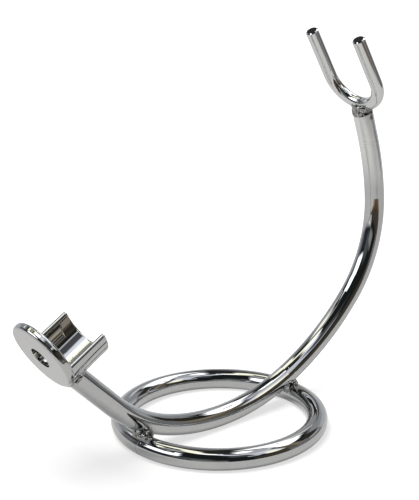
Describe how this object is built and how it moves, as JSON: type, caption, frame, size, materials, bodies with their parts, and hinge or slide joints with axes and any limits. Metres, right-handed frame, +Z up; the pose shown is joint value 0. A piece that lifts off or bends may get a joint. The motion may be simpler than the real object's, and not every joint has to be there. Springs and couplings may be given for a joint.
{
  "type": "shaving brush stand",
  "caption": "Free-standing welded bar stand that holds a shaving brush or razor handle on a slope, between a half-round cradle with a stop disc and a raised wire fork.",
  "frame": {"origin": "centre of the base ring, on the table it stands on", "axes": "+X from the low cradle to the high fork, in the plane of the bent arm; +Z up; +Y completes the right-handed frame"},
  "size_m": [0.1731, 0.083, 0.1459],
  "materials": {
    "chrome": "polished chrome plate",
    "weld": "plated weld, uneven"
  },
  "bodies": {
    "root": {"base_ring": "chrome", "ring_butt_weld": "weld", "support_arm": "chrome", "front_ring_weld": "weld", "rear_ring_weld": "weld", "top_fork": "chrome", "fork_weld": "weld", "cradle_disc": "chrome", "cradle_clip": "chrome", "cradle_weld": "weld"}
  },
  "joints": []
}
